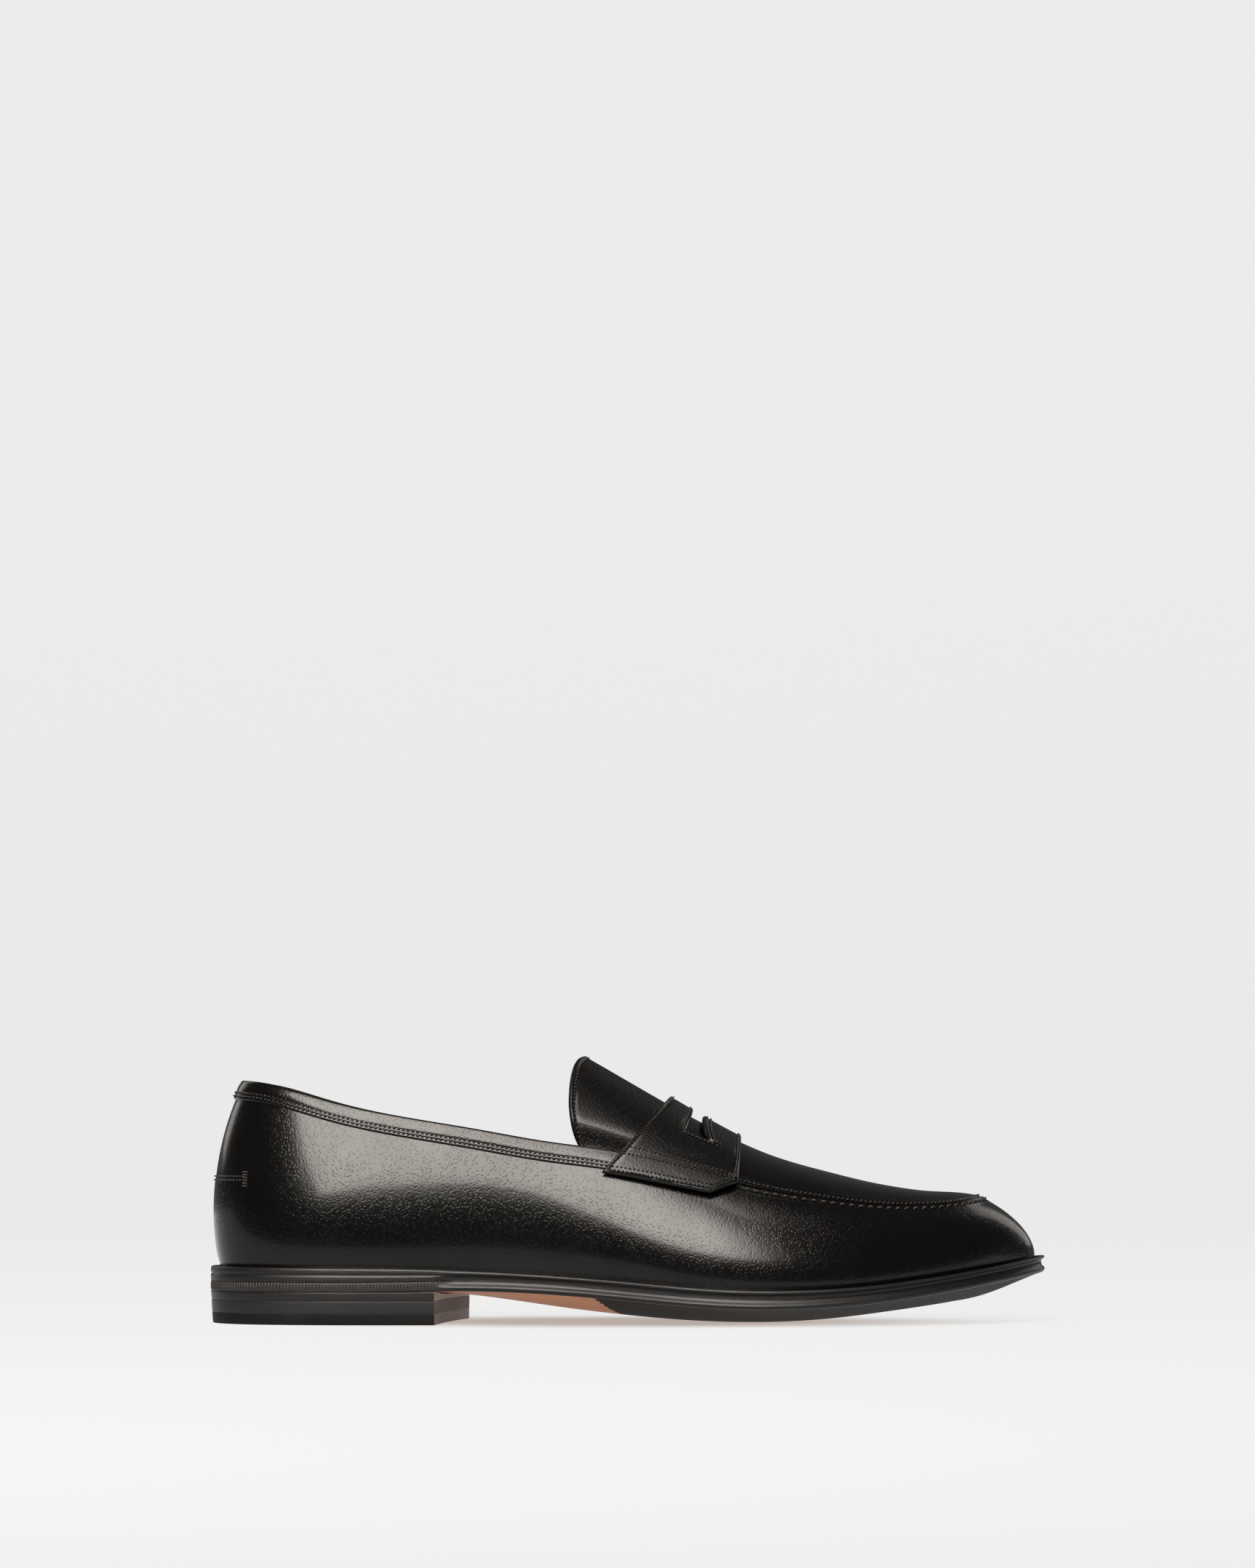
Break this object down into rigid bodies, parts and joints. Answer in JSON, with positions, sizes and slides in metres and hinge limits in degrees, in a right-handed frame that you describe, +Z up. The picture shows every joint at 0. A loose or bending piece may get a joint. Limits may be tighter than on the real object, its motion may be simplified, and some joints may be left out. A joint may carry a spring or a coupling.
{
  "type": "penny loafer",
  "caption": "Black calf penny loafer with a slotted saddle strap, moccasin apron, bound collar, leather sole and low stacked heel.",
  "frame": {"origin": "on the ground under the middle of the shoe's length and width", "axes": "+X towards the toe, +Y towards the inner (medial) side of the foot, +Z up"},
  "size_m": [0.3019, 0.1019, 0.0958],
  "materials": {
    "black_calf": "polished, very fine grain, soft wide highlights",
    "lining_leather": "natural vegetable-tanned, matt",
    "stiffener_board": "matt fibre board",
    "sole_leather": "smooth natural tan",
    "edge_black": "inked and waxed edge, semi-gloss",
    "heel_stack": "inked stacked leather, satin",
    "rubber": "matt moulded rubber",
    "cork": "granular cork, matt",
    "steel": "plain steel",
    "thread": "waxed thread"
  },
  "bodies": {
    "shoe": {"vamp_quarter": "black_calf", "apron": "black_calf", "collar_band": "black_calf", "saddle_strap": "black_calf", "strap_tab_lateral": "black_calf", "strap_tab_medial": "black_calf", "vamp_lining": "lining_leather", "quarter_lining": "lining_leather", "sock_liner": "lining_leather", "heel_counter": "stiffener_board", "toe_puff": "stiffener_board", "insole_board": "stiffener_board", "apron_thread_upper": "thread", "apron_thread_lower": "thread", "collar_thread_upper": "thread", "collar_thread_lower": "thread", "outsole": "sole_leather", "welt": "edge_black", "forepart_half_sole": "rubber", "heel_top_piece": "rubber", "heel_lift_lower": "heel_stack", "heel_lift_upper": "heel_stack", "cork_filler": "cork", "shank": "steel", "heel_nail_1": "steel", "heel_nail_2": "steel", "heel_nail_3": "steel", "heel_nail_4": "steel", "heel_nail_5": "steel", "heel_nail_6": "steel", "heel_nail_7": "steel"},
    "tongue": {"tongue": "black_calf", "tongue_lining": "lining_leather", "tongue_thread": "thread"}
  },
  "joints": [
    {"name": "tongue_flex", "type": "hinge", "parent": "shoe", "child": "tongue", "pos_m": [0.002, 0, 0.066], "axis": [0, 1, 0], "range_deg": [0, 14], "stiffness_Nm_per_rad": 0.3}
  ]
}
